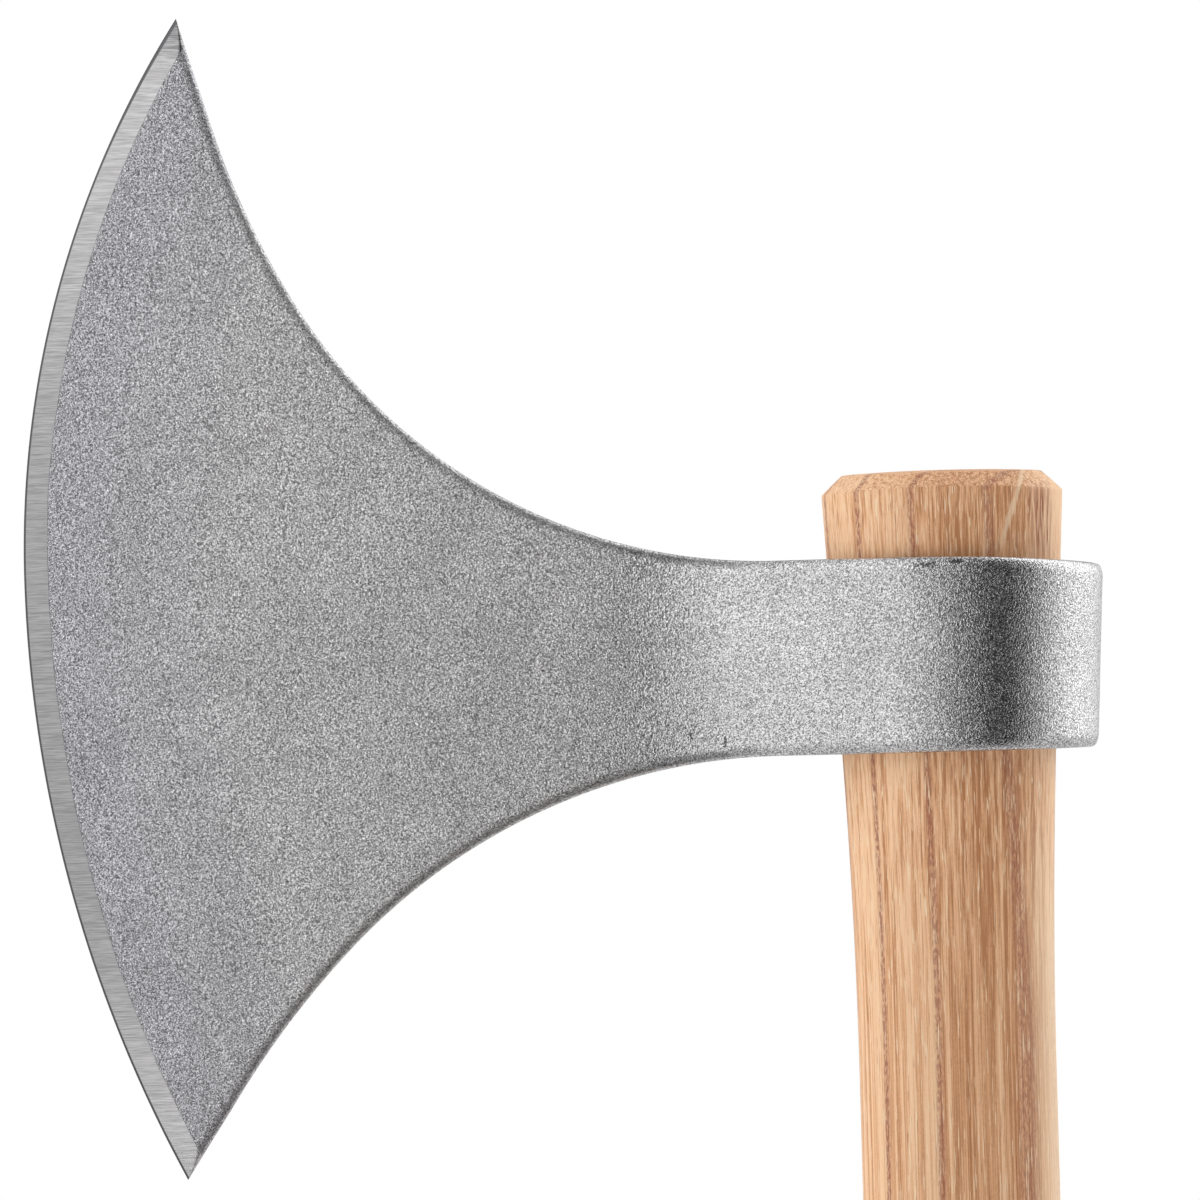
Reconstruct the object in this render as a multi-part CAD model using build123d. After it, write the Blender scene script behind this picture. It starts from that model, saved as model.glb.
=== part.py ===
from build123d import *
from math import asin, atan, cos, degrees, radians, sin, sqrt, tan
import os

# A broad-bladed one-hand axe: one steel forging on a hickory haft that goes in from the top.
# Millimetres. Origin at the middle of the haft's butt face, +Z up the haft, cutting edge to -X,
# poll to +X. Both pieces are symmetrical about the XZ plane.

# Haft. Every cross-section is an ellipse with the grip's proportions.
haft_length = 508.0          # butt face to the top face, without its crown
grip_width = 28.0            # front to back
grip_thickness = 20.2        # side to side
eye_swell = 1.2              # how much the haft grows on each side, from the grip to the socket's underside
eye_taper = 0.052            # growth of the half width per millimetre of height, in the eye and above it
end_cut_width = 3.0          # width of the conical cut round each end, at front and back
end_cut_height = 2.6         # its height at front and back
end_cut_side_height = 1.9    # its height on the flatter sides
top_crown = 0.6              # rise of the domed top face

# Where the head sits on the haft
haft_stand_proud = 11.65     # from the socket's top rim to the haft's top face
socket_height = 27.6
eye_clearance = 0.06         # gap between eye and haft, at front and back

# Steel round the eye
poll_wall = 6.0
side_wall = 4.0              # at the upper rim, where the haft is widest
front_wall = 7.4             # from the eye to where the rims start to sweep into the blade
rim_fall = 1.7               # how far the top rim drops at the poll
rim_fall_start = 5.0         # the drop starts this far in front of the eye's middle

# The head seen from above
widest_point = 4.0           # behind the eye's middle
shoulder_radius = 39.0       # from the widest point to the flat cheek
cheek_angle = 19.5           # flat cheek to the blade's middle plane, degrees
neck_radius = 50.0           # hollow from the cheek to the blade
neck_thickness = 7.5

# The blade seen from the side. Each sweep is two tangent arcs, starting at the rim.
toe_sweep_radii = (77.65, 117.0)
toe_sweep_turns = (59.5, 25.5)       # degrees
heel_sweep_radii = (86.4, 129.7)
heel_sweep_turns = (45.4, 21.6)
edge_reach = 130.6           # from the eye's middle to the foremost point of the edge
edge_crown_height = 0.95     # that point's height over the socket's top rim
toe_edge_radius = 141.2      # edge from its foremost point up to the toe
heel_edge_radius = 189.6     # and down to the heel

# Thickness of the blade
blade_taper_length = 70.0    # the faces thin over this distance from the edge
blade_thickness = 2.4        # just behind the ground bevel
bevel_width = 3.6
edge_land = 0.25             # blunt width left at the very edge

# Broken edges
perimeter_radius = 0.7
tip_radius = 0.75            # toe and heel, seen from the side
eye_radius = 0.5

# Follow from the above
flatness = grip_thickness / grip_width
socket_top = haft_length - haft_stand_proud
socket_bottom = socket_top - socket_height
grip_half = grip_width / 2
clear_of_all = 20.0          # how far cutting shapes run past what they cut


def haft_half_width(height):
    """Half of the haft's width, front to back, in the eye and above it."""
    return grip_half + eye_swell + eye_taper * (height - socket_bottom)


def flatten(solid):
    """Squeeze a round shape side to side, to the haft's proportions."""
    return scale(solid, by=(1, flatness, 1))


def end_trimmer(height, up):
    """The ring cut off one end of the haft by a cone that is steeper on the flatter sides."""
    half_width = haft_half_width(height) if up > 0 else grip_half
    half_thickness = half_width * flatness
    face_half_width = half_width - end_cut_width
    face_half_thickness = half_thickness - end_cut_width * flatness
    side_slope = end_cut_width * flatness / end_cut_side_height
    end_slope = end_cut_width / end_cut_height
    depth = 2 * end_cut_height
    face = Plane((0, 0, height), z_dir=(0, 0, 1))
    deep = Plane((0, 0, height - up * depth), z_dir=(0, 0, 1))
    far = Plane((0, 0, height + up * depth), z_dir=(0, 0, 1))
    small = far * Ellipse(face_half_width - end_slope * depth, face_half_thickness - side_slope * depth)
    large = deep * Ellipse(face_half_width + end_slope * depth, face_half_thickness + side_slope * depth)
    cone = loft([small, large], ruled=True)
    block = face * Box(4 * half_width, 4 * half_width, 2 * depth)
    return block - cone


def make_haft():
    """One length of hickory: straight grip, long flare, straight taper through the eye."""
    low = -clear_of_all
    flare_angle = atan(eye_taper)
    flare_radius = eye_swell / (1 - cos(flare_angle))
    flare_start = socket_bottom - flare_radius * sin(flare_angle)
    flare = JernArc((grip_half, flare_start), (0, 1), flare_radius, -degrees(flare_angle))
    top_half = haft_half_width(haft_length)
    crown_radius = (top_half ** 2 + top_crown ** 2) / (2 * top_crown)
    crown_turn = degrees(asin(top_half / crown_radius))
    crown = JernArc((0, haft_length + top_crown), (1, 0), crown_radius, -crown_turn)
    outline = Curve() + [
        Polyline((0, haft_length + top_crown), (0, low), (grip_half, low), (grip_half, flare_start)),
        flare,
        Line(flare @ 1, crown @ 1),
        crown,
    ]
    haft = flatten(revolve(Plane.XZ * make_face(outline), axis=Axis.Z))
    haft -= Pos(0, 0, low) * Box(2 * grip_width, 2 * grip_width, 2 * clear_of_all)
    haft -= end_trimmer(haft_length, 1)
    haft -= end_trimmer(0, -1)
    return haft


def eye_cutter():
    """The haft's own taper with the clearance round it, longer than the socket at both ends."""
    low = socket_bottom - clear_of_all
    high = socket_top + clear_of_all
    low_half = haft_half_width(low) + eye_clearance
    high_half = haft_half_width(high) + eye_clearance
    outline = Polyline((0, low), (low_half, low), (high_half, high), (0, high), close=True)
    return flatten(revolve(Plane.XZ * make_face(outline), axis=Axis.Z))


def is_eye_rim(edge):
    """True for the corners where the eye comes out of the head."""
    middle = edge @ 0.5
    reach = sqrt(middle.X ** 2 + (middle.Y / flatness) ** 2)
    on_eye_wall = abs(reach - haft_half_width(middle.Z) - eye_clearance) < 0.01
    return on_eye_wall and edge.bounding_box().size.Z < socket_height / 2


def plan_outline(height):
    """The head seen from above at one height. Only the poll follows the haft's taper."""
    half_thickness = haft_half_width(socket_top) * flatness + eye_clearance + side_wall
    poll = haft_half_width(height) + eye_clearance + poll_wall
    neck_half = neck_thickness / 2
    turn = radians(cheek_angle)
    shoulder_end = (
        widest_point - shoulder_radius * sin(turn),
        half_thickness - shoulder_radius * (1 - cos(turn)),
    )
    hollow_half = neck_half + neck_radius * (1 - cos(turn))
    hollow_start = shoulder_end[0] - (shoulder_end[1] - hollow_half) / tan(turn)
    hollow_end = hollow_start - neck_radius * sin(turn)
    far = -edge_reach - clear_of_all
    poll_round = EllipticalCenterArc(
        (widest_point, 0), poll - widest_point, half_thickness, start_angle=-90, arc_size=180
    )
    cheek = Curve() + [
        JernArc((widest_point, half_thickness), (-1, 0), shoulder_radius, cheek_angle),
        Line(shoulder_end, (hollow_start, hollow_half)),
        JernArc((hollow_start, hollow_half), (-cos(turn), -sin(turn)), neck_radius, -cheek_angle),
        Line((hollow_end, neck_half), (far, neck_half)),
    ]
    front = Line((far, neck_half), (far, -neck_half))
    outline = Curve() + [poll_round, cheek, front, mirror(cheek, about=Plane.XZ)]
    return Plane((0, 0, height), z_dir=(0, 0, 1)) * make_face(outline)


def rims_and_sweeps():
    """The walls of the head seen from the side: both rims, the sweep to the toe and the one to the heel.

    The top rim and the sweeps run on past the poll and past the edge.
    """
    poll = haft_half_width(socket_top) + eye_clearance + poll_wall
    rim_front = -(haft_half_width(socket_top) + eye_clearance + front_wall)
    behind = poll + clear_of_all
    fall_run = poll + rim_fall_start
    fall_radius = (fall_run ** 2 + rim_fall ** 2) / (2 * rim_fall)
    fall_turn = degrees(asin((behind + rim_fall_start) / fall_radius))
    lines = [
        JernArc((-rim_fall_start, socket_top), (1, 0), fall_radius, -fall_turn),
        Line((-rim_fall_start, socket_top), (rim_front, socket_top)),
        Line((behind, socket_bottom), (rim_front, socket_bottom)),
    ]
    sweeps = (
        (socket_top, -1, toe_sweep_radii, toe_sweep_turns),
        (socket_bottom, 1, heel_sweep_radii, heel_sweep_turns),
    )
    for rim, hand, radii, turns in sweeps:
        near = JernArc((rim_front, rim), (-1, 0), radii[0], hand * turns[0])
        far = JernArc(near @ 1, near % 1, radii[1], hand * turns[1])
        run_on = Line(far @ 1, (far @ 1) + (far % 1) * edge_reach / 2)
        lines += [near, far, run_on]
    return lines


def side_outline(lines):
    """The face that the walls close, with a back behind the poll and a front beyond the edge."""
    top_back = lines[0] @ 1
    bottom_back = lines[2] @ 0
    toe_end = lines[5] @ 1
    heel_end = lines[8] @ 1
    far = -2 * edge_reach
    back = Line(top_back, bottom_back)
    front = Polyline(toe_end, (far, toe_end.Y), (far, heel_end.Y), heel_end)
    return Plane.XZ.offset(-2 * clear_of_all) * make_face(Curve() + lines + [back, front])


def cut_round_edge(section):
    """Two cutting rings, from the edge's foremost point to beyond the toe and to beyond the heel.

    The section lists points above the middle plane as (distance outward from the edge, height).
    """
    rings = []
    for radius, upward in ((toe_edge_radius, 1), (heel_edge_radius, -1)):
        centre = (radius - edge_reach, 0, socket_top + edge_crown_height)
        plane = Plane(centre, x_dir=(-1, 0, 0), z_dir=(0, 0, -1))
        above = [(radius + outward, height) for outward, height in section]
        below = [(radius + outward, -height) for outward, height in reversed(section)]
        ring = make_face(Polyline(*above, *below, close=True))
        rings.append(revolve(plane * ring, axis=Axis(centre, (0, upward, 0)), revolution_arc=80))
    return rings


def face_cutters():
    """What thins both faces of the blade from the neck to the edge, and ends it there."""
    neck_half = neck_thickness / 2
    blade_half = blade_thickness / 2
    slope = (neck_half - blade_half) / (blade_taper_length - bevel_width)
    return cut_round_edge([
        (5 * clear_of_all, clear_of_all),
        (-blade_taper_length, clear_of_all),
        (-blade_taper_length, neck_half),
        (0, blade_half - slope * bevel_width),
    ])


def edge_cutters():
    """What grinds the two bevels down to the blunt width of the edge."""
    blade_half = blade_thickness / 2
    land_half = edge_land / 2
    lead_in = 2.0
    high = land_half + (blade_half - land_half) * (bevel_width + lead_in) / bevel_width
    return cut_round_edge([
        (5 * clear_of_all, high),
        (-bevel_width - lead_in, high),
        (0, land_half),
        (lead_in, land_half),
    ])


def make_head():
    """One forging, with its eye and its ground edge."""
    walls = rims_and_sweeps()
    low = plan_outline(socket_bottom - 5 * clear_of_all)
    high = plan_outline(socket_top + 5 * clear_of_all)
    from_above = loft([low, high], ruled=True)
    from_side = extrude(side_outline(walls), amount=4 * clear_of_all)
    head = from_side & from_above
    head -= face_cutters()
    across = head.edges().filter_by(Axis.Y).sort_by(Axis.Z)
    head = fillet([across[0], across[-1]], tip_radius)
    rims = Plane.XZ * (Curve() + walls)
    corners = []
    for edge in head.edges():
        middle = edge @ 0.5
        on_wall = rims.distance_to(Vertex(middle.X, 0, middle.Z)) < 0.001
        if on_wall and abs(middle.Y) > edge_land:
            corners.append(edge)
    head = fillet(corners, perimeter_radius)
    head -= edge_cutters()
    head -= eye_cutter()
    return fillet(head.edges().filter_by(is_eye_rim), eye_radius)


os.makedirs("parts", exist_ok=True)
for name, piece in (("haft", make_haft()), ("axe_head", make_head())):
    piece.label = name
    export_step(piece, f"parts/{name}.step")
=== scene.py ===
import math

import bmesh
import bpy
from mathutils import Matrix, Vector, noise


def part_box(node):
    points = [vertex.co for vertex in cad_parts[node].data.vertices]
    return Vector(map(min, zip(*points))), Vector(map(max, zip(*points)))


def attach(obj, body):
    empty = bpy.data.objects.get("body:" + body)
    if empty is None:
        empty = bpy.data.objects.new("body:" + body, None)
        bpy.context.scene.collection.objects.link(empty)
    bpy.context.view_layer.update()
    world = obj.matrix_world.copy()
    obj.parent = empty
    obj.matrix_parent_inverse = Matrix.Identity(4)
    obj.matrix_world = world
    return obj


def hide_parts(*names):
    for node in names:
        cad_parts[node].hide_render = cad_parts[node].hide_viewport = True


# Broad-bladed one-hand axe: a forged head and its hickory haft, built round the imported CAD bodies.
# Meshes are worked out in millimetres and scaled to metres at the end of each piece.

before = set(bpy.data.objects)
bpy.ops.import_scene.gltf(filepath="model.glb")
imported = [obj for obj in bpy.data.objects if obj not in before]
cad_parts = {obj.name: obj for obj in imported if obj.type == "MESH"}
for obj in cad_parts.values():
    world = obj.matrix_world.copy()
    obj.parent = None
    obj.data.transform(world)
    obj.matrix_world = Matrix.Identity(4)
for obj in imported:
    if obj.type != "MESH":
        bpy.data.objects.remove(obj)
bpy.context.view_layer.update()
millimetre = 0.001
bpy.context.scene.view_settings.view_transform = "Standard"

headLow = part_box("axe_head")[0] / millimetre
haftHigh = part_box("haft")[1] / millimetre

haft = {
    "crown": 0.6,              # rise of the domed top
    "gripHalf": 14.0,          # half width of the grip, front to back
    "flatness": 20.2 / 28.0,   # side to side over front to back
    "swell": 1.2,              # extra half width at the socket's lower rim
    "taper": 0.052,            # and from there up, per millimetre
    "cutWidth": 3.0,           # conical cut round both ends
    "cutHeight": 2.6,
    "cutSideHeight": 1.9,      # lower on the flatter sides
    "cutFade": 12.0,           # which evens out over this height
    "softening": 0.3,          # on the arrises of the cuts
    "spokes": 144,
    "rows": 180,
}
haftTop = haftHigh.z - haft["crown"]

head = {
    "socketTop": haftTop - 11.65,
    "socketHeight": 27.6,
    "clearance": 0.06,         # between eye and haft
    "wallPoll": 6.0,
    "rimFront": -24.095,       # where the rims start to sweep into the blade
    "rimFall": 1.7,            # the top rim's, towards the poll
    "rimFallFrom": -5.0,
    "widest": (4.0, 16.061),   # place and half thickness
    "shoulder": 39.0,          # radius of the cheeks where they leave the socket
    "cheekTurn": math.radians(19.5),
    "hollow": 50.0,            # and where they run into the neck
    "neckHalf": 3.75,
    "edgeCentreHeight": 0.95,  # over the socket's top rim
    "toeEdge": 141.2,          # radii of the cutting edge
    "heelEdge": 189.6,
    "toeSweep": (77.65, 117.0, 59.5),    # near radius, far radius, turn of the near arc
    "heelSweep": (86.4, 129.7, 45.4),
    "taperLength": 70.0,       # the blade thins over this length
    "taperBlend": 0.5,         # softens the line where that begins
    "bladeHalf": 1.2,          # half thickness at the ground bevel
    "bevel": 3.6,
    "bevelLoss": (0.1, 0.45),  # narrower by this much at heel and toe
    "honing": 0.28,            # last, steeper strip at the cutting edge
    "honedHalf": 0.2,
    "tipHalf": 0.02,
    "roll": (1.8, 0.56),       # soft roll along rims and sweeps: reach and depth
    "corner": 0.38,            # and the tight round outside it
    "tipTrim": (1.55, 1.0),    # the sweeps turn in at the toe and heel tips by this much
    "tipReach": 11.0,          # and start doing so this far from the edge
    "eyeCorner": 0.5,
    "wave": 0.045,             # unevenness left by the forging dies
    "farFromEdge": 120.0,      # given to the socket, which has no edge
    "across": 170,             # points over one face, from heel to toe
    "borderPoints": (0, 0.05, 0.16, 0.38, 0.7, 1.2, 1.8),    # depths of the first of them
    "slant": 0.28,             # spread out again near the edge, where the sweeps come in at a slant
    "stations": 112,           # from the socket to the ground bevel
    "creaseStart": 0.9988,     # last station before the bevel, so that its border stays crisp
    "bevelRows": (0.97, 0.9, 0.8, 0.68, 0.54, 0.4, 0.26, 0.14, 0.05),    # shares of the bevel
    "honedRows": (0.2, 0.11, 0.04, 0.0),                 # depths behind the edge
    "wallPoints": 5,           # across the blade's thickness
    "pollColumns": 64,
    "cheekColumns": 34,
    "rimPoints": 6,            # from the outside to the eye
    "eyePoints": 12,           # down the eye
}
socketTop = head["socketTop"]
socketBottom = socketTop - head["socketHeight"]
edgeLevel = socketTop + head["edgeCentreHeight"]
toeEdgeX = headLow.x + head["toeEdge"]
heelEdgeX = headLow.x + head["heelEdge"]


def haftHalf(z):
    # half width of the haft in the eye, and above it
    return haft["gripHalf"] + haft["swell"] + haft["taper"] * (z - socketBottom)


def roundOff(depth):
    # how far a face draws back this near to its border
    soft = max(1 - max(depth, 0.0) / head["roll"][0], 0.0)
    tight = max(1 - max(depth, 0.0) / head["corner"], 0.0)
    return head["roll"][1] * soft ** 2 + head["corner"] * (1 - math.sqrt(max(1 - tight ** 2, 0.0)))


def planHalf(x):
    # half thickness of the socket and the neck, seen from above
    wideX, wideY = head["widest"]
    turn = head["cheekTurn"]
    shoulder = head["shoulder"]
    hollow = head["hollow"]
    shoulderX = wideX - shoulder * math.sin(turn)
    shoulderY = wideY - shoulder * (1 - math.cos(turn))
    hollowY = head["neckHalf"] + hollow * (1 - math.cos(turn))
    hollowX = shoulderX - (shoulderY - hollowY) / math.tan(turn)
    hollowEnd = hollowX - hollow * math.sin(turn)
    if x >= shoulderX:
        return wideY - shoulder + math.sqrt(shoulder ** 2 - (wideX - x) ** 2)
    if x >= hollowX:
        return shoulderY - (shoulderX - x) * math.tan(turn)
    if x >= hollowEnd:
        return head["neckHalf"] + hollow - math.sqrt(hollow ** 2 - (x - hollowEnd) ** 2)
    return head["neckHalf"]


def fromEdge(x, z):
    # the cutting edge is two arcs that meet in front of the socket
    if z >= edgeLevel:
        return head["toeEdge"] - math.hypot(x - toeEdgeX, z - edgeLevel)
    return head["heelEdge"] - math.hypot(x - heelEdgeX, z - edgeLevel)


bladeSlope = (head["neckHalf"] - head["bladeHalf"]) / (head["taperLength"] - head["bevel"])


def faceHalf(x, z):
    # the same with the blade's taper, and a soft line where that begins
    flat = head["neckHalf"]
    taper = head["bladeHalf"] + bladeSlope * (fromEdge(x, z) - head["bevel"])
    blend = head["taperBlend"]
    near = max(blend - abs(flat - taper), 0.0) / blend
    return planHalf(x) - flat + min(flat, taper) - near * near * blend / 4


def wave(x, y, z):
    # never less than nothing, so that no face swells past the CAD body
    slow = noise.noise(Vector((x * 0.09, y * 0.09, z * 0.09)))
    quick = noise.noise(Vector((x * 0.31 + 7, y * 0.31, z * 0.31)))
    return head["wave"] * (1 + 0.7 * slow + 0.3 * quick)


class Sweep:
    # one border of the blade: a near arc, then a wider far one that runs to the tip
    def __init__(self, rim, hand, sizes, edgeX, edgeRadius):
        near, far, turn = sizes
        turn = math.radians(turn)
        self.hand, self.near, self.far = hand, near, far
        self.nearCentre = Vector((head["rimFront"], rim + hand * near))
        out = Vector((-math.sin(turn), -hand * math.cos(turn)))
        self.joint = self.nearCentre + near * out
        self.farCentre = self.joint - far * out
        self.turn = turn
        self.edgeCentre = Vector((edgeX, edgeLevel))
        self.edgeRadius = edgeRadius

    def distance(self, x, z):
        # in from the border
        point = self.turned(Vector((x, z)), -1)
        arm = self.joint - self.nearCentre
        offset = point - self.nearCentre
        if self.hand * (arm.x * offset.y - arm.y * offset.x) < 0:
            return (point - self.farCentre).length - self.far
        return offset.length - self.near

    def end(self, depth):
        # the tip, this far behind the cutting edge
        return meet(self.edgeCentre, self.edgeRadius - depth, self.farCentre, self.far)

    def edgeAngle(self, depth):
        # the edge's turn from straight ahead to the trimmed tip
        end = self.end(depth) - self.edgeCentre
        return math.atan2(abs(end.y), -end.x) - self.trim(depth) / self.edgeRadius

    def trim(self, depth):
        # how far the tip is moved in along the edge
        most = head["tipTrim"][0 if self.hand > 0 else 1]
        return most * min(max(1 - depth / head["tipReach"], 0.0), 1.0) ** 1.6

    def turned(self, point, way):
        # moves a point with the tip's trim, or back again
        arm = point - self.edgeCentre
        angle = way * self.hand * self.trim(self.edgeRadius - arm.length) / self.edgeRadius
        return self.edgeCentre + Matrix.Rotation(angle, 2) @ arm


def meet(centreA, radiusA, centreB, radiusB):
    # where two circles cross, on the blade's side
    gap = centreB - centreA
    length = gap.length
    reach = (radiusA ** 2 - radiusB ** 2 + length ** 2) / (2 * length)
    rise = math.sqrt(max(radiusA ** 2 - reach ** 2, 0.0))
    along = gap / length
    across = Vector((-along.y, along.x))
    both = (centreA + along * reach + side * across * rise for side in (1, -1))
    return min(both, key=lambda point: point.x)


toe = Sweep(socketTop, 1, head["toeSweep"], toeEdgeX, head["toeEdge"])
heel = Sweep(socketBottom, -1, head["heelSweep"], heelEdgeX, head["heelEdge"])


def facePlaces(length, lean):
    # where points sit across a face: close together in the rounding at both borders
    close = head["borderPoints"]
    step = [depth / (length * lean) for depth in close]
    inner = head["across"] - 2 * len(close)
    gap = (1 - 2 * step[-1]) / (inner + 1)
    middle = [step[-1] + gap * (n + 1) for n in range(inner)]
    return step + middle + [1 - share for share in reversed(step)]


def bevelWidth(share):
    # narrower near the toe, and a little uneven
    atHeel, atToe = head["bevelLoss"]
    drift = head["bevel"] - 0.05 - atToe * share ** 3 - atHeel * (1 - share) ** 3
    slow = noise.noise(Vector((share * 9, 3, 0)))
    quick = noise.noise(Vector((share * 41, 8, 0)))
    return drift + 0.16 * slow + 0.07 * quick


def edgePlace(share, depth):
    # a point this far behind the cutting edge, from heel (0) to toe (1)
    heelRadius = head["heelEdge"] - depth
    toeRadius = head["toeEdge"] - depth
    heelLength = heelRadius * heel.edgeAngle(depth)
    toeLength = toeRadius * toe.edgeAngle(depth)
    run = share * (heelLength + toeLength) - heelLength
    radius, centreX = (toeRadius, toeEdgeX) if run > 0 else (heelRadius, heelEdgeX)
    angle = run / radius
    return Vector((centreX - radius * math.cos(angle), edgeLevel + radius * math.sin(angle))), run


def bladePlace(u, share):
    # the blade's face as a patch between socket, edge and the two sweeps
    front = head["rimFront"]
    heelWidth, toeWidth = bevelWidth(0), bevelWidth(1)
    low, high = heelLine(u), toeLine(u)
    near = Vector((front, socketBottom + share * head["socketHeight"]))
    far, run = edgePlace(share, bevelWidth(share))
    corners = (1 - share) * ((1 - u) * Vector((front, socketBottom)) + u * edgePlace(0, heelWidth)[0])
    corners += share * ((1 - u) * Vector((front, socketTop)) + u * edgePlace(1, toeWidth)[0])
    return (1 - share) * low + share * high + (1 - u) * near + u * far - corners, u * run


def sweepLine(sweep, depth):
    # a sweep's points by their share of its length
    last = sweep.end(depth) - sweep.farCentre
    farTurn = abs((sweep.joint - sweep.farCentre).angle_signed(last))
    nearLength = sweep.near * sweep.turn
    whole = nearLength + sweep.far * farTurn

    def place(u):
        length = u * whole
        angle, centre, radius = length / sweep.near, sweep.nearCentre, sweep.near
        if length > nearLength:
            angle = sweep.turn + (length - nearLength) / sweep.far
            centre, radius = sweep.farCentre, sweep.far
        return sweep.turned(centre + radius * Vector((-math.sin(angle), -sweep.hand * math.cos(angle))), 1)
    return place


toeLine = sweepLine(toe, bevelWidth(1))
heelLine = sweepLine(heel, bevelWidth(0))


def ringFrom(line, bevelled):
    # up one face, over the toe side, down the other face and back along the heel side
    ring = []
    for side in (-1, 1):
        places = line if side < 0 else line[::-1]
        for (x, z, half), run, depth in places:
            rim = max(min(toe.distance(x, z), heel.distance(x, z)), 0.0)
            ring.append((x, side * half[side], z, run, depth, bevelled, rim))
        (x, z, half), run, depth = places[-1]
        for n in range(head["wallPoints"]):
            share = (n + 1) / (head["wallPoints"] + 1)
            start, end = side * half[side], -side * half[-side]
            ring.append((x, start + (end - start) * share, z, run, depth, bevelled, 0.0))
    return ring


def bladeRings():
    # rings round the blade, from the socket forward to the cutting edge
    rings = []
    last = head["stations"] - 1
    for station in range(head["stations"]):
        u = station / last
        if station == last - 1:
            u = head["creaseStart"]
        steps = [bladePlace(u, n / 16)[0] for n in range(17)]
        length = sum((after - before).length for before, after in zip(steps, steps[1:]))
        line = []
        for share in facePlaces(length, 1 - head["slant"] * u):
            place, run = bladePlace(u, share)
            x, z = place
            cut = roundOff(min(toe.distance(x, z), heel.distance(x, z)))
            full = faceHalf(x, z)
            half = {side: full - cut - wave(x, side * full, z) for side in (-1, 1)}
            line.append(((x, z, half), run, fromEdge(x, z)))
        rings.append(ringFrom(line, 0.0))
    crease = line
    # the bevel is ground flat from there, down to the honed strip
    shares = facePlaces(length, 1 - head["slant"])
    honing = head["honing"]
    rows = [(part, None) for part in head["bevelRows"]]
    rows += [(0, depth) for depth in (honing, *head["honedRows"])]
    for part, fixed in rows:
        line = []
        for share, start in zip(shares, crease):
            width = bevelWidth(share)
            depth = fixed if fixed is not None else honing + (width - honing) * part
            place, run = edgePlace(share, depth)
            x, z = place
            half = {}
            cut = roundOff(min(toe.distance(x, z), heel.distance(x, z)))
            for side in (-1, 1):
                begin = head["bladeHalf"] + bladeSlope * (width - head["bevel"]) - wave(x, side, z)
                if fixed is None:
                    ground = head["honedHalf"] + (begin - head["honedHalf"]) * part
                else:
                    ground = head["tipHalf"] + (head["honedHalf"] - head["tipHalf"]) * depth / honing
                half[side] = min(begin - cut, ground) if depth else 0.0
            line.append(((x, z, half), run, depth))
        rings.append(ringFrom(line, 1.0))
    return rings


def topRim(x):
    # level of the socket's top rim, which falls towards the poll
    if x <= head["rimFallFrom"]:
        return socketTop
    run = haftHalf(socketTop) + head["clearance"] + head["wallPoll"] - head["rimFallFrom"]
    radius = (run ** 2 + head["rimFall"] ** 2) / (2 * head["rimFall"])
    return socketTop - radius + math.sqrt(radius ** 2 - (x - head["rimFallFrom"]) ** 2)


def eyeWall(turn, z, out):
    # a point on the eye's wall, or this far outside it
    half = haftHalf(z) + head["clearance"]
    return Vector(((half + out) * math.cos(turn), (half * haft["flatness"] + out) * math.sin(turn), z))


def socketRings(blade):
    # upright rings through the socket's wall, one after the other round the eye
    wideX, wideY = head["widest"]
    across = head["across"]
    places = facePlaces(head["socketHeight"], 1)
    # near cheek, round the poll, far cheek: place, side and turn
    outline = []
    for n in range(head["cheekColumns"]):
        outline.append((head["rimFront"] + (wideX - head["rimFront"]) * n / head["cheekColumns"], 1, 0))
    for n in range(head["pollColumns"] + 1):
        outline.append((wideX, 0, math.pi / 2 - math.pi * n / head["pollColumns"]))
    for n in range(head["cheekColumns"]):
        outline.append((wideX + (head["rimFront"] - wideX) * (n + 1) / head["cheekColumns"], -1, 0))
    rear = haftHalf(socketTop) + head["clearance"] + head["wallPoll"]
    columns = []
    for x, side, turn in outline:
        wall = []
        onTop = x if side else wideX + (rear - wideX) * math.cos(turn)
        height = topRim(onTop) - socketBottom
        for share in places:
            z = socketBottom + share * height
            if side:
                point = Vector((x, side * planHalf(x), z))
                inward = Vector((0, -side, 0))
            else:
                reach = haftHalf(z) + head["clearance"] + head["wallPoll"] - wideX
                point = Vector((wideX + reach * math.cos(turn), wideY * math.sin(turn), z))
                inward = -Vector((math.cos(turn) / reach, math.sin(turn) / wideY, 0)).normalized()
            cut = roundOff(min(share, 1 - share) * height)
            wall.append(point + inward * (cut + wave(*point)))
        columns.append(wall)
    # the blade grows out of the socket's front, so the borders there are the blade's own points
    total = across + head["wallPoints"]
    columns[0] = [Vector(entry[:3]) for entry in blade[total:total + across]][::-1]
    columns[-1] = [Vector(entry[:3]) for entry in blade[:across]]
    for n in range(head["wallPoints"]):
        top, bottom = Vector(blade[across + n][:3]), Vector(blade[len(blade) - 1 - n][:3])
        columns.append([bottom] + [bottom.lerp(top, share) for share in places[1:-1]] + [top])
    rings = []
    for wall in columns:
        low, high = wall[0], wall[-1]
        middle = wall[len(wall) // 2]
        turn = math.atan2(middle.y / haft["flatness"], middle.x)
        ring = list(wall)
        ring += rimLine(high, turn, high.z, 1)
        innerLow, innerHigh = socketBottom + head["eyeCorner"], high.z - head["eyeCorner"]
        for n in range(head["eyePoints"]):
            share = (n + 1) / (head["eyePoints"] + 1)
            ring.append(eyeWall(turn, innerHigh + (innerLow - innerHigh) * share, 0))
        ring += rimLine(low, turn, low.z, -1)[::-1]
        rims = [max(min(point.z - low.z, high.z - point.z), 0.0) for point in ring]
        rings.append([(*point, 0.0, head["farFromEdge"], 0.0, rim) for point, rim in zip(ring, rims)])
    rings.append(rings[0])
    return rings


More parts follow.
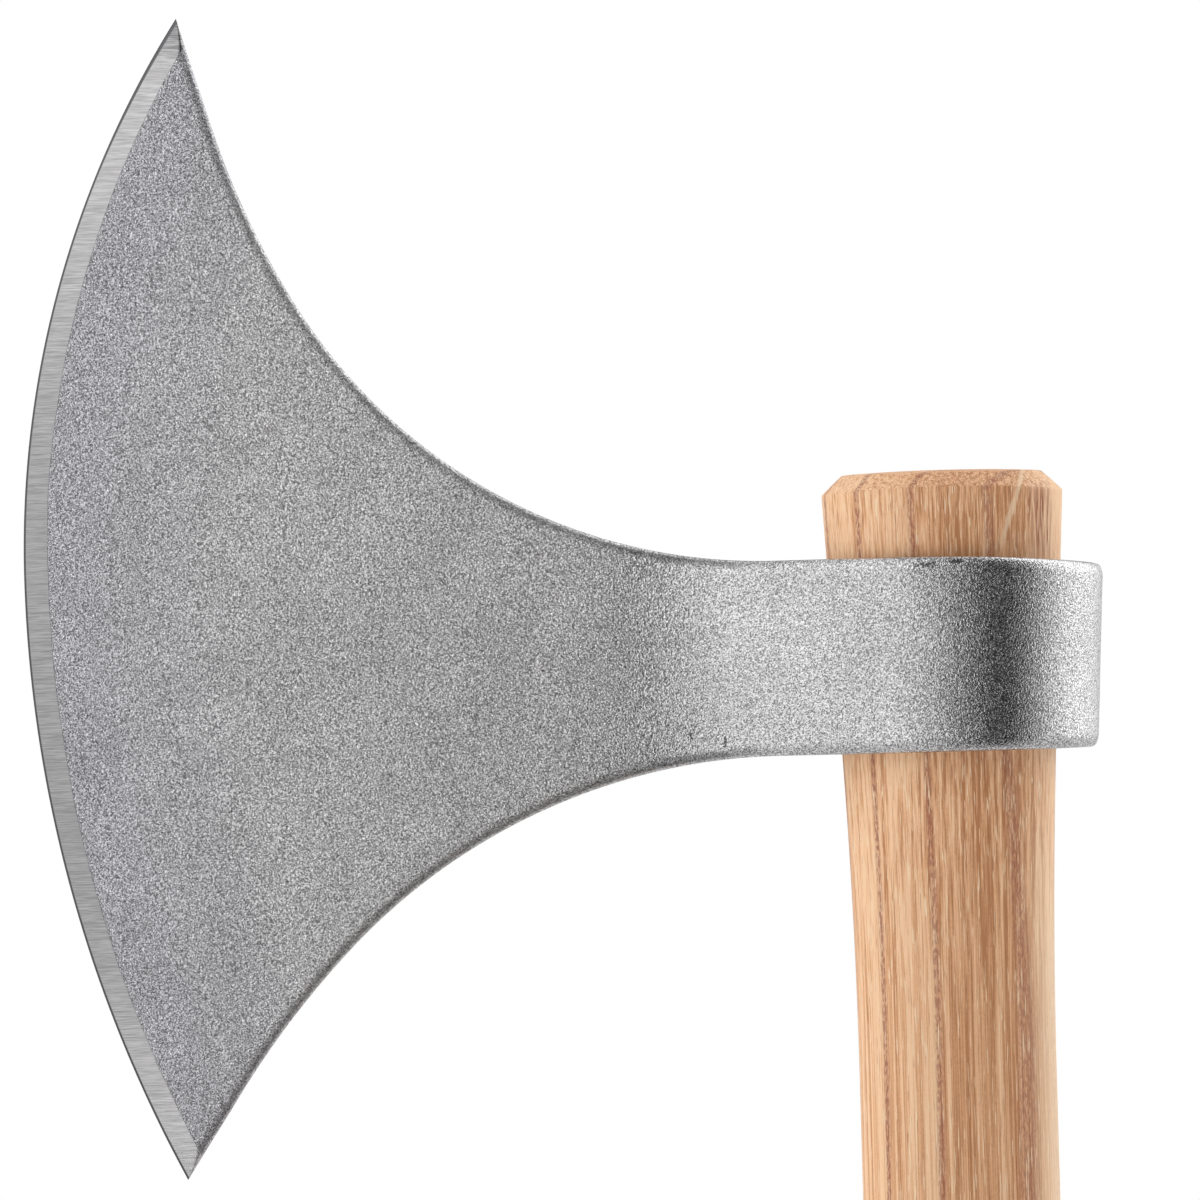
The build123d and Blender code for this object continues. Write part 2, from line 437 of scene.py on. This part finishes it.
def rimLine(start, turn, level, up):
    # over the rim from the outside and round its corner into the eye
    corner = head["eyeCorner"]
    end = eyeWall(turn, level, corner)
    line = []
    for n in range(head["rimPoints"]):
        point = start.lerp(end, (n + 1) / (head["rimPoints"] + 1))
        point.z = topRim(point.x) if up > 0 else level
        line.append(point)
    height = topRim(end.x) if up > 0 else level
    for degrees in (0, 30, 60, 90):
        lean = math.radians(degrees)
        z = height - up * corner * (1 - math.cos(lean))
        line.append(eyeWall(turn, z, corner * (1 - math.sin(lean))))
    return line


def sheetFrom(bm, rings, names, skip=None):
    # a grid laid over the rings, closed the other way round, with its unwanted faces left out
    across = len(rings[0])
    made = bmesh.ops.create_grid(bm, x_segments=len(rings) - 1, y_segments=across, size=1.0)
    layers = [bm.verts.layers.float[name] for name in names]
    cells = {}
    for vert in made["verts"]:
        i = round((vert.co.x + 1) / 2 * (len(rings) - 1))
        j = round((vert.co.y + 1) / 2 * across)
        cells[vert] = (i, j)
        entry = rings[i][j % across]
        vert.co = entry[:3]
        for layer, value in zip(layers, entry[3:]):
            vert[layer] = value
    if skip:
        faces = {face for vert in made["verts"] for face in vert.link_faces}
        spare = [face for face in faces if skip([cells[vert] for vert in face.verts])]
        bmesh.ops.delete(bm, geom=spare, context="FACES")


def buildHead():
    bm = bmesh.new()
    names = ("alongEdge", "edgeDistance", "ground", "rimDistance")
    for name in names:
        bm.verts.layers.float.new(name)
    blade = bladeRings()
    sheetFrom(bm, blade, names)
    around = 2 * head["cheekColumns"] + head["pollColumns"]
    last = head["across"] - 1

    def hiddenByBlade(corners):
        return min(i for i, j in corners) >= around and max(j for i, j in corners) <= last

    sheetFrom(bm, socketRings(blade[0]), names, hiddenByBlade)
    return finishMesh(bm, "forged_head")


def objectFrom(bm, name):
    mesh = bpy.data.meshes.new(name)
    bm.to_mesh(mesh)
    bm.free()
    made = bpy.data.objects.new(name, mesh)
    bpy.context.scene.collection.objects.link(made)
    return made


def finishMesh(bm, name):
    bmesh.ops.remove_doubles(bm, verts=bm.verts, dist=0.002)
    bmesh.ops.dissolve_degenerate(bm, edges=bm.edges, dist=0.0005)
    loose = [vert for vert in bm.verts if not vert.link_faces]
    bmesh.ops.delete(bm, geom=loose, context="VERTS")
    bmesh.ops.recalc_face_normals(bm, faces=bm.faces)
    bmesh.ops.scale(bm, vec=(millimetre, millimetre, millimetre), verts=bm.verts)
    for face in bm.faces:
        face.smooth = True
    openEdges = sum(1 for edge in bm.edges if len(edge.link_faces) != 2)
    volume = round(bm.calc_volume() / millimetre ** 3)
    print(name, len(bm.faces), "faces,", openEdges, "open edges,", volume, "mm3")
    return objectFrom(bm, name)


def buildHaft():
    soft = haft["softening"]
    gripHalf = haft["gripHalf"]
    topHalf = haftHalf(haftTop)
    crownRadius = (topHalf ** 2 + haft["crown"] ** 2) / (2 * haft["crown"])
    slope = haft["cutWidth"] / haft["cutHeight"]

    def crownAt(x):
        return haftTop + haft["crown"] - crownRadius + math.sqrt(crownRadius ** 2 - x ** 2)

    # the straight grip flares into the eye's taper on one long arc
    flareTurn = math.atan(haft["taper"])
    flareRadius = haft["swell"] / (1 - math.cos(flareTurn))
    flareStart = socketBottom - flareRadius * math.sin(flareTurn)

    def sideAt(z):
        if z >= socketBottom:
            return haftHalf(z)
        if z > flareStart:
            return gripHalf + flareRadius - math.sqrt(flareRadius ** 2 - (z - flareStart) ** 2)
        return gripHalf

    # half the haft's outline, from the middle of the butt to the middle of the crown
    buttFace = gripHalf - haft["cutWidth"]
    outline = [(buttFace * n / 8, 0.0) for n in range(8)]
    outline += [(buttFace - soft, 0.0), (buttFace - soft * 0.3, 0.03)]
    outline += [(buttFace + soft * 0.4, 0.06 + soft * 0.35), (buttFace + 1.5, 1.3)]
    outline += [(gripHalf - 0.35, haft["cutHeight"] - 0.3), (gripHalf - 0.05, haft["cutHeight"])]
    low, high = haft["cutHeight"] + 0.35, haftTop - haft["cutHeight"] - 0.35
    for n in range(haft["rows"] + 1):
        z = low + (high - low) * n / haft["rows"]
        outline.append((sideAt(z), z))
    lip = topHalf - haft["cutWidth"]
    base = haftTop - haft["cutHeight"]
    outline += [(sideAt(base) - 0.03, base), (sideAt(base) - 0.3, base + 0.26)]
    outline += [(lip + slope * 1.3, haftTop - 1.3), (lip + slope * 0.25, haftTop - 0.22)]
    outline += [(lip - 0.02, crownAt(lip) - 0.11), (lip - 0.35, crownAt(lip) - 0.03)]
    outline += [(lip * n / 9, crownAt(lip * n / 9)) for n in range(8, -1, -1)]

    bm = bmesh.new()
    verts = [bm.verts.new((x, 0, z)) for x, z in outline]
    edges = [bm.edges.new(pair) for pair in zip(verts, verts[1:])]
    bmesh.ops.spin(bm, geom=verts + edges, axis=(0, 0, 1), cent=(0, 0, 0), angle=math.tau,
                   steps=haft["spokes"], use_merge=True, use_duplicate=False)

    def order(face):
        middle = face.calc_center_median()
        return middle.z * 1000 + math.atan2(middle.y, middle.x) * 10 + middle.xy.length

    bm.faces.sort(key=order)    # spin leaves its faces in another order each time
    # the cuts are lower on the flatter sides
    fadeOver = haft["cutFade"]
    for vert in bm.verts:
        across = vert.co.y ** 2 / max(vert.co.x ** 2 + vert.co.y ** 2, 1e-6)
        shrink = 1 - across * (1 - haft["cutSideHeight"] / haft["cutHeight"])
        for level, inside in ((haftTop, -1), (0.0, 1)):
            depth = inside * (vert.co.z - level)
            if 0 < depth < fadeOver:
                fade = min(max((fadeOver - depth) / (fadeOver - haft["cutHeight"]), 0), 1)
                vert.co.z = level + inside * depth * (1 + (shrink - 1) * fade)
    bmesh.ops.scale(bm, vec=(1, haft["flatness"], 1), verts=bm.verts)
    return finishMesh(bm, "hickory_haft")


def node(tree, kind, inputs=None, **settings):
    made = tree.nodes.new("ShaderNode" + kind)
    for name, value in settings.items():
        setattr(made, name, value)
    for name, value in (inputs or {}).items():
        if isinstance(value, bpy.types.NodeSocket):
            tree.links.new(value, made.inputs[name])
        else:
            made.inputs[name].default_value = value
    return made


def maths(tree, operation, first, second=0.0):
    return node(tree, "Math", {0: first, 1: second}, operation=operation).outputs[0]


def between(tree, value, low, high, toLow=0.0, toHigh=1.0, smooth=True):
    made = node(tree, "MapRange", {0: value, 1: low, 2: high, 3: toLow, 4: toHigh})
    made.interpolation_type = "SMOOTHSTEP" if smooth else "LINEAR"
    return made.outputs[0]


def blendColours(tree, share, first, second, mode="MIX"):
    made = node(tree, "Mix", data_type="RGBA", blend_type=mode)
    for index, value in ((0, share), (6, first), (7, second)):
        if isinstance(value, bpy.types.NodeSocket):
            tree.links.new(value, made.inputs[index])
        else:
            made.inputs[index].default_value = value if index == 0 else (*value, 1)
    return made.outputs[2]


def blendValues(tree, share, first, second):
    return node(tree, "Mix", {0: share, 2: first, 3: second}, data_type="FLOAT").outputs[0]


def grey(tree, level):
    return node(tree, "CombineColor", {0: level, 1: level, 2: level}).outputs[0]


def newMaterial(name):
    material = bpy.data.materials.new(name)
    material.use_nodes = True
    tree = material.node_tree
    tree.nodes.clear()
    shader = node(tree, "BsdfPrincipled")
    node(tree, "OutputMaterial", {0: shader.outputs[0]})
    return material, tree, shader


def inMillimetres(tree, stretch=(1, 1, 1)):
    place = node(tree, "TexCoord").outputs["Object"]
    scale = tuple(1000 * part for part in stretch)
    return node(tree, "Mapping", {"Vector": place, "Scale": scale}).outputs[0]


def noiseAt(tree, vector, scale, detail=2.0, roughness=0.5):
    values = {"Vector": vector, "Scale": scale, "Detail": detail, "Roughness": roughness}
    return node(tree, "TexNoise", values).outputs[0]


steel = {
    "grain": 4.3,              # blasted grain, per millimetre
    "pebbles": 2.5,            # coarser, on the blade
    "specks": 5.2,
    "socketDepth": 0.00012,    # how deep the grain is, metres
    "bladeDepth": 0.00033,
    "socketFrom": (-56.0, -28.0),       # X where one gives way to the other
    "dark": (0.205, 0.203, 0.206),      # bottom of the grain
    "light": (0.83, 0.822, 0.83),       # and its top
    "ground": (0.415, 0.408, 0.413),
    "edgeShade": (0.90, 0.90, 0.935),      # painted shade, slightly cool, on the forged face next to the edge
    "edgeShadeReach": (2.0, 34.0),
    "scale": (0.09, 0.088, 0.087),      # painted shade along the sweeps, inside their rounded corners
    "honed": (0.11, 0.11, 0.115),
    "chipped": (0.05, 0.05, 0.05),
    # X and Z, half width and half height
    "marks": ((-31.8, 470.9, 0.35, 1.2), (-36.6, 471.8, 0.3, 0.7), (6.0, 484.5, 0.3, 0.4),
              (-2.9, 495.2, 1.9, 0.5), (1.2, 495.5, 1.3, 0.4)),
}


def steelFinish():
    material, tree, shader = newMaterial("blasted_steel")
    place = inMillimetres(tree)
    attribute = {name: node(tree, "Attribute", attribute_name=name).outputs["Fac"]
                 for name in ("alongEdge", "edgeDistance", "ground", "rimDistance")}
    axes = node(tree, "SeparateXYZ", {0: place}).outputs
    onSocket = between(tree, axes[0], *steel["socketFrom"])
    fine = noiseAt(tree, place, steel["grain"], 1.5, 0.6)
    pebbles = noiseAt(tree, place, steel["pebbles"], 2.5, 0.6)
    broad = noiseAt(tree, place, 0.09, 2.0, 0.5)
    cells = node(tree, "TexVoronoi", {"Vector": place, "Scale": steel["specks"]}).outputs["Color"]
    speck = node(tree, "SeparateColor", {0: cells}).outputs[0]
    ground = attribute["ground"]

    # grinding lines run square to the edge
    lines = node(tree, "CombineXYZ", {0: maths(tree, "MULTIPLY", attribute["alongEdge"], 8.0),
                                      1: maths(tree, "MULTIPLY", attribute["edgeDistance"], 0.22),
                                      2: maths(tree, "MULTIPLY", axes[1], 0.8)}).outputs[0]
    scratch = noiseAt(tree, lines, 1.0, 2.0, 0.6)
    longScratch = noiseAt(tree, lines, 0.16, 2.0, 0.5)

    tone = maths(tree, "ADD", maths(tree, "MULTIPLY", fine, 0.80), maths(tree, "MULTIPLY", speck, 0.20))
    tone = between(tree, tone, 0.36, 0.64, smooth=False)
    blasted = blendColours(tree, tone, steel["dark"], steel["light"])
    patch = between(tree, broad, 0.3, 0.7, 0.94, 1.05)
    blasted = blendColours(tree, 1.0, blasted, grey(tree, patch), "MULTIPLY")
    # a nick under the neck and chipped scale under the top rim
    nearSide = between(tree, axes[1], -1.0, 1.0, 0.85, 0.0)
    for x, z, wide, high in steel["marks"]:
        spread = (1 / wide, 0, 1 / high)
        away = node(tree, "VectorMath", {0: place, 1: (x, 0, z)}, operation="SUBTRACT").outputs[0]
        away = node(tree, "VectorMath", {0: away, 1: spread}, operation="MULTIPLY").outputs[0]
        away = node(tree, "VectorMath", {0: away}, operation="LENGTH").outputs["Value"]
        away = maths(tree, "ADD", away, maths(tree, "MULTIPLY", fine, 2.4))
        mark = maths(tree, "MULTIPLY", nearSide, between(tree, away, 1.7, 2.1, 1.0, 0.0))
        blasted = blendColours(tree, mark, blasted, steel["chipped"])
    # painted shade: a dark band along the sweeps, just inside their bright corners, where the rounded face
    # turns away from the light
    rim = maths(tree, "ADD", attribute["rimDistance"], maths(tree, "MULTIPLY", fine, 0.7))
    # the painted shade's mask, from the rim distance and fading out towards the socket
    scale = maths(tree, "MULTIPLY", between(tree, rim, 0.55, 0.85), between(tree, rim, 1.0, 2.1, 1.0, 0.0))
    scale = maths(tree, "MULTIPLY", scale, between(tree, axes[0], -34.0, -22.0, 0.62, 0.0))
    blasted = blendColours(tree, scale, blasted, steel["scale"])
    # painted shade on the forged face, strongest at the cutting edge and fading out over this reach
    edgeShade = between(tree, attribute["edgeDistance"], *steel["edgeShadeReach"])
    darker = blendColours(tree, 1.0, blasted, steel["edgeShade"], "MULTIPLY")
    blasted = blendColours(tree, edgeShade, darker, blasted)

    # painted light on the ground bevel: painted shade in its middle and a painted highlight at the heel
    lineTone = between(tree, scratch, 0.3, 0.7, 0.74, 1.18)
    groundTone = maths(tree, "MULTIPLY", lineTone, between(tree, longScratch, 0.3, 0.7, 0.95, 1.05))
    middle = maths(tree, "ABSOLUTE", maths(tree, "ADD", attribute["alongEdge"], 12.0))
    groundTone = maths(tree, "MULTIPLY", groundTone, between(tree, middle, 18.0, 78.0, 0.80, 1.0))
    # painted highlight towards the heel
    atHeel = between(tree, attribute["alongEdge"], -48.0, -86.0, 1.0, 1.34)
    groundTone = maths(tree, "MULTIPLY", groundTone, atHeel)
    groundColour = blendColours(tree, 1.0, steel["ground"], grey(tree, groundTone), "MULTIPLY")
    # the last of the toe is ground rougher, and the honed line is widest there
    toeEnd = head["toeEdge"] * toe.edgeAngle(0)
    nearToe = between(tree, attribute["alongEdge"], toeEnd - 26.0, toeEnd - 2.0)
    atToe = between(tree, attribute["alongEdge"], toeEnd - 8.5, toeEnd - 2.5)
    rougher = maths(tree, "MULTIPLY", atToe, between(tree, scratch, 0.42, 0.58, 0.9, 0.2))
    groundColour = blendColours(tree, rougher, groundColour, steel["honed"])
    width = maths(tree, "ADD", 0.24, maths(tree, "MULTIPLY", nearToe, 0.2))
    honed = between(tree, maths(tree, "SUBTRACT", attribute["edgeDistance"], width), 0.0, 0.12)
    groundColour = blendColours(tree, honed, steel["honed"], groundColour)
    tree.links.new(blendColours(tree, ground, blasted, groundColour), shader.inputs["Base Color"])
    shader.inputs["Metallic"].default_value = 1.0
    rough = maths(tree, "ADD", 0.17, maths(tree, "MULTIPLY", fine, 0.12))
    groundRough = maths(tree, "ADD", 0.27, maths(tree, "MULTIPLY", scratch, 0.12))
    tree.links.new(blendValues(tree, ground, rough, groundRough), shader.inputs["Roughness"])

    # grain, with pebbles on the blade, flattened where the edge is ground
    rise = maths(tree, "ADD", pebbles, maths(tree, "MULTIPLY", fine, 0.5))
    rise = maths(tree, "MULTIPLY", rise, steel["bladeDepth"] / steel["socketDepth"])
    relief = blendValues(tree, onSocket, rise, fine)
    relief = blendValues(tree, ground, relief, maths(tree, "MULTIPLY", scratch, 0.25))
    bump = node(tree, "Bump", {"Strength": 1.0, "Distance": steel["socketDepth"], "Height": relief})
    tree.links.new(bump.outputs[0], shader.inputs["Normal"])
    return material


hickory = {
    "pith": (-70.0, 60.0),     # middle of the tree, beside the haft
    "ring": 7.4,               # from one dark pore line to the next
    "ringStart": 89.5,         # one of them, out from the pith
    "pale": (0.96, 0.625, 0.378),
    "mid": (0.81, 0.44, 0.232),
    "brown": (0.52, 0.225, 0.095),
    "pore": (0.33, 0.10, 0.062),
    "stain": (0.36, 0.105, 0.04),
    "fleckAndHighlight": (0.98, 0.76, 0.52),
    "poreDepth": 0.00006,      # metres
}


def hickoryFinish():
    material, tree, shader = newMaterial("hickory_wood")
    place = inMillimetres(tree)
    axes = node(tree, "SeparateXYZ", {0: place}).outputs

    def times(value, factor):
        return maths(tree, "MULTIPLY", value, factor)

    def plus(first, second):
        return maths(tree, "ADD", first, second)

    def centred(value, factor):
        return times(maths(tree, "SUBTRACT", value, 0.5), factor)

    # rings round the tree's own middle, wandering a little along the haft
    drift = centred(noiseAt(tree, inMillimetres(tree, (0.03, 0.03, 0.006)), 1.0, 1.0), 1.6)
    x = maths(tree, "SUBTRACT", plus(axes[0], drift), hickory["pith"][0])
    y = maths(tree, "SUBTRACT", axes[1], hickory["pith"][1])
    reach = node(tree, "VectorMath", {0: node(tree, "CombineXYZ", {0: x, 1: y}).outputs[0]},
                 operation="LENGTH").outputs["Value"]
    ring = maths(tree, "SUBTRACT", reach, hickory["ringStart"])
    ring = plus(maths(tree, "DIVIDE", ring, hickory["ring"]), 10.0)    # keeps the count above nought
    phase = maths(tree, "FRACT", ring)
    number = maths(tree, "ROUND", ring)
    chance = node(tree, "TexWhiteNoise", {"W": number}, noise_dimensions="1D").outputs["Value"]
    # each ring starts with a band of open pores
    away = maths(tree, "MINIMUM", phase, maths(tree, "SUBTRACT", 1.0, phase))
    band = between(tree, away, 0.02, 0.09, 1.0, 0.0)

    streak = noiseAt(tree, inMillimetres(tree, (1.7, 1.7, 0.008)), 1.0, 3.0, 0.6)
    hair = noiseAt(tree, inMillimetres(tree, (5.5, 5.5, 0.03)), 1.0, 2.0, 0.6)
    wide = noiseAt(tree, inMillimetres(tree, (0.25, 0.25, 0.004)), 1.0, 2.0, 0.5)
    dash = noiseAt(tree, inMillimetres(tree, (4.5, 4.5, 1.1)), 1.0, 1.0, 0.5)
    longDash = noiseAt(tree, inMillimetres(tree, (5.0, 5.0, 0.22)), 1.0, 1.0, 0.5)
    flecks = noiseAt(tree, inMillimetres(tree, (5.5, 5.5, 0.20)), 1.0, 1.0, 0.5)
    mottle = noiseAt(tree, inMillimetres(tree, (3.0, 3.0, 2.2)), 1.0, 2.0, 0.6)

    # painted light and shade: paler at the lit front, browner towards the middle where less light falls,
    # pale again at the back, partly paler wood and partly painted light
    tone = times(between(tree, axes[0], -14.0, 3.0), 0.36)
    tone = plus(tone, times(between(tree, axes[0], 10.0, 14.5), -0.60))
    tone = plus(tone, times(wide, 0.55))
    tone = plus(tone, centred(streak, 2.4))
    tone = plus(tone, centred(hair, 2.0))
    tone = plus(tone, centred(mottle, 0.35))
    tone = plus(tone, centred(phase, -0.14))
    ramp = node(tree, "ValToRGB", {0: tone})
    points = ramp.color_ramp.elements
    points[0].position, points[0].color = 0.06, (*hickory["pale"], 1)
    points[1].position, points[1].color = 0.95, (*hickory["brown"], 1)
    points.new(0.48).color = (*hickory["mid"], 1)
    colour = ramp.outputs[0]

    openness = plus(0.42, times(between(tree, dash, 0.44, 0.56), 0.58))
    strength = plus(0.6, times(chance, 0.3))
    pores = times(times(band, strength), openness)
    stray = times(between(tree, longDash, 0.66, 0.74), 0.45)
    pores = maths(tree, "MAXIMUM", pores, stray)
    colour = blendColours(tree, pores, colour, hickory["pore"])
    # a few brown streaks at the back, over the head
    mark = times(between(tree, axes[0], 11.4, 12.2), between(tree, axes[0], 15.6, 14.8))
    mark = times(mark, times(between(tree, axes[2], 494.0, 499.0), between(tree, axes[2], 508.0, 503.5)))
    mark = times(mark, between(tree, streak, 0.36, 0.60))
    colour = blendColours(tree, times(mark, 0.9), colour, hickory["stain"])
    # a pale line leaning across the grain there
    slant = times(maths(tree, "SUBTRACT", axes[2], 502.0), 0.34)
    slant = plus(maths(tree, "SUBTRACT", axes[0], slant), times(streak, 1.6))
    slant = maths(tree, "ABSOLUTE", maths(tree, "SUBTRACT", slant, 10.1))
    slant = times(between(tree, slant, 0.18, 0.55, 1.0, 0.0), between(tree, axes[2], 496.0, 500.0))
    colour = blendColours(tree, times(slant, 0.55), colour, hickory["fleckAndHighlight"])
    # painted light: paler along the back of the grip, where the light from the right falls
    litBack = times(between(tree, axes[0], 9.0, 13.5), between(tree, axes[2], 468.0, 436.0))
    colour = blendColours(tree, times(litBack, 0.55), colour, hickory["fleckAndHighlight"])
    # the pale fleck colour, used here for real flecks and above for the painted light on the grip
    colour = blendColours(tree, between(tree, flecks, 0.62, 0.69, 0.0, 0.85), colour, hickory["fleckAndHighlight"])
    tree.links.new(colour, shader.inputs["Base Color"])
    tree.links.new(plus(0.46, times(streak, 0.2)), shader.inputs["Roughness"])
    shader.inputs["Specular IOR Level"].default_value = 0.35
    height = maths(tree, "SUBTRACT", times(hair, 0.6), pores)
    bump = node(tree, "Bump", {"Strength": 0.8, "Distance": hickory["poreDepth"], "Height": height})
    tree.links.new(bump.outputs[0], shader.inputs["Normal"])
    return material


view = {
    "target": Vector((-48.95, 0, 491.5)) * millimetre,
    "distance": 1.6,
    "width": 170.4 * millimetre,
    "roll": math.radians(1.625),
}


def addCamera():
    camera = bpy.data.cameras.new("camera")
    camera.angle = 2 * math.atan(view["width"] / 2 / view["distance"])
    camera.clip_end = 50
    body = bpy.data.objects.new("camera", camera)
    bpy.context.scene.collection.objects.link(body)
    lean = Matrix.Rotation(view["roll"], 3, "Y")
    axes = lean @ Matrix(((1, 0, 0), (0, 0, -1), (0, 1, 0)))
    place = axes.to_4x4()
    place.translation = view["target"] + Vector((0, -view["distance"], 0))
    body.matrix_world = place
    bpy.context.scene.camera = body


studio = {
    # place, turn in degrees, width and height, brightness
    "softboxes": {
        "softboxUpper": ((-0.39, -0.27, 0.82), 8, (0.66, 0.48), 1.50),
        "softboxLower": ((-0.39, -0.27, 0.42), 8, (0.66, 0.32), 1.12),
    },
    # black cards, seen only in the steel: the softboxes' housing and a flag at the front right
    "cards": {
        "housing": ((-0.39, -0.29, 0.63), 8, (0.70, 0.92)),
        "flag": ((0.115, -0.29, 0.55), 0, (0.35, 0.80)),
    },
    "cardBlack": 0.01,
    "floorHalf": 4.0,
    "floorWhite": 0.86,
    # turn round the axe from the front, degrees; brightness of the walls
    "surround": [
        (-180, 0.35), (-160, 0.6), (-140, 1.2), (-110, 1.1), (-80, 0.9), (-66, 0.2), (-40, 0.03),
        (0, 0.0), (42, 0.0), (54, 0.25), (68, 0.95), (80, 1.6), (96, 2.0), (122, 2.1), (140, 1.7),
        (160, 0.7), (180, 0.35),
    ],
}


def addWorld():
    world = bpy.data.worlds.new("studio")
    bpy.context.scene.world = world
    world.use_nodes = True
    tree = world.node_tree
    tree.nodes.clear()
    direction = node(tree, "TexCoord").outputs["Generated"]
    axes = node(tree, "SeparateXYZ", {0: direction}).outputs
    turn = maths(tree, "ARCTAN2", axes[0], maths(tree, "MULTIPLY", axes[1], -1.0))
    share = maths(tree, "ADD", maths(tree, "DIVIDE", turn, math.tau), 0.5)
    ramp = node(tree, "ValToRGB", {0: share})
    ramp.color_ramp.interpolation = "LINEAR"
    points = ramp.color_ramp.elements
    walls = studio["surround"]
    while len(points) < len(walls):
        points.new(0.5)
    for point, (degrees, level) in zip(points, walls):
        point.position = degrees / 360 + 0.5
        point.color = (level, level, level, 1)
    upward = between(tree, axes[2], -0.6, 0.8, 0.86, 1.12)
    light = node(tree, "Background", {0: ramp.outputs[0], 1: upward})
    white = node(tree, "Background", {0: (1, 1, 1, 1), 1: 1.0})
    seen = node(tree, "LightPath").outputs["Is Camera Ray"]
    mixed = node(tree, "MixShader", {0: seen, 1: light.outputs[0], 2: white.outputs[0]})
    node(tree, "OutputWorld", {0: mixed.outputs[0]})


def addLight(name, place, turn, size, brightness):
    light = bpy.data.lights.new(name, "AREA")
    light.shape = "RECTANGLE"
    light.size, light.size_y = size
    light.energy = brightness * math.pi * size[0] * size[1]
    lamp = bpy.data.objects.new(name, light)
    bpy.context.scene.collection.objects.link(lamp)
    lamp.location = place
    lamp.rotation_euler = (math.radians(90), 0, math.radians(-turn))
    lamp.visible_camera = False


def mattFinish(name, level, roughness):
    material, _, shader = newMaterial(name)
    shader.inputs["Base Color"].default_value = (level, level, level, 1)
    shader.inputs["Roughness"].default_value = roughness
    return material


def addFloor():
    bm = bmesh.new()
    bmesh.ops.create_grid(bm, x_segments=1, y_segments=1, size=studio["floorHalf"])
    floor = objectFrom(bm, "floor")
    floor.data.materials.append(mattFinish("floor_white", studio["floorWhite"], 0.9))


def addCard(name, place, turn, size):
    bm = bmesh.new()
    bmesh.ops.create_grid(bm, x_segments=1, y_segments=1, size=0.5)
    bmesh.ops.scale(bm, vec=(*size, 1), verts=bm.verts)
    bmesh.ops.rotate(bm, matrix=Matrix.Rotation(math.radians(90), 3, "X"), verts=bm.verts)
    bmesh.ops.rotate(bm, matrix=Matrix.Rotation(math.radians(-turn), 3, "Z"), verts=bm.verts)
    bmesh.ops.translate(bm, vec=place, verts=bm.verts)
    card = objectFrom(bm, name)
    card.data.materials.append(mattFinish(name + "_black", studio["cardBlack"], 1.0))
    card.visible_camera = card.visible_diffuse = card.visible_shadow = False


addCamera()
print("camera set")
forgedHead = buildHead()
forgedHead.data.materials.append(steelFinish())
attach(forgedHead, "head")
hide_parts("axe_head")
print("head made")
hickoryHaft = buildHaft()
hickoryHaft.data.materials.append(hickoryFinish())
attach(hickoryHaft, "haft")
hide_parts("haft")
print("haft made")
addWorld()
for name, values in studio["softboxes"].items():
    addLight(name, *values)
for name, values in studio["cards"].items():
    addCard(name, *values)
addFloor()
print("studio set")
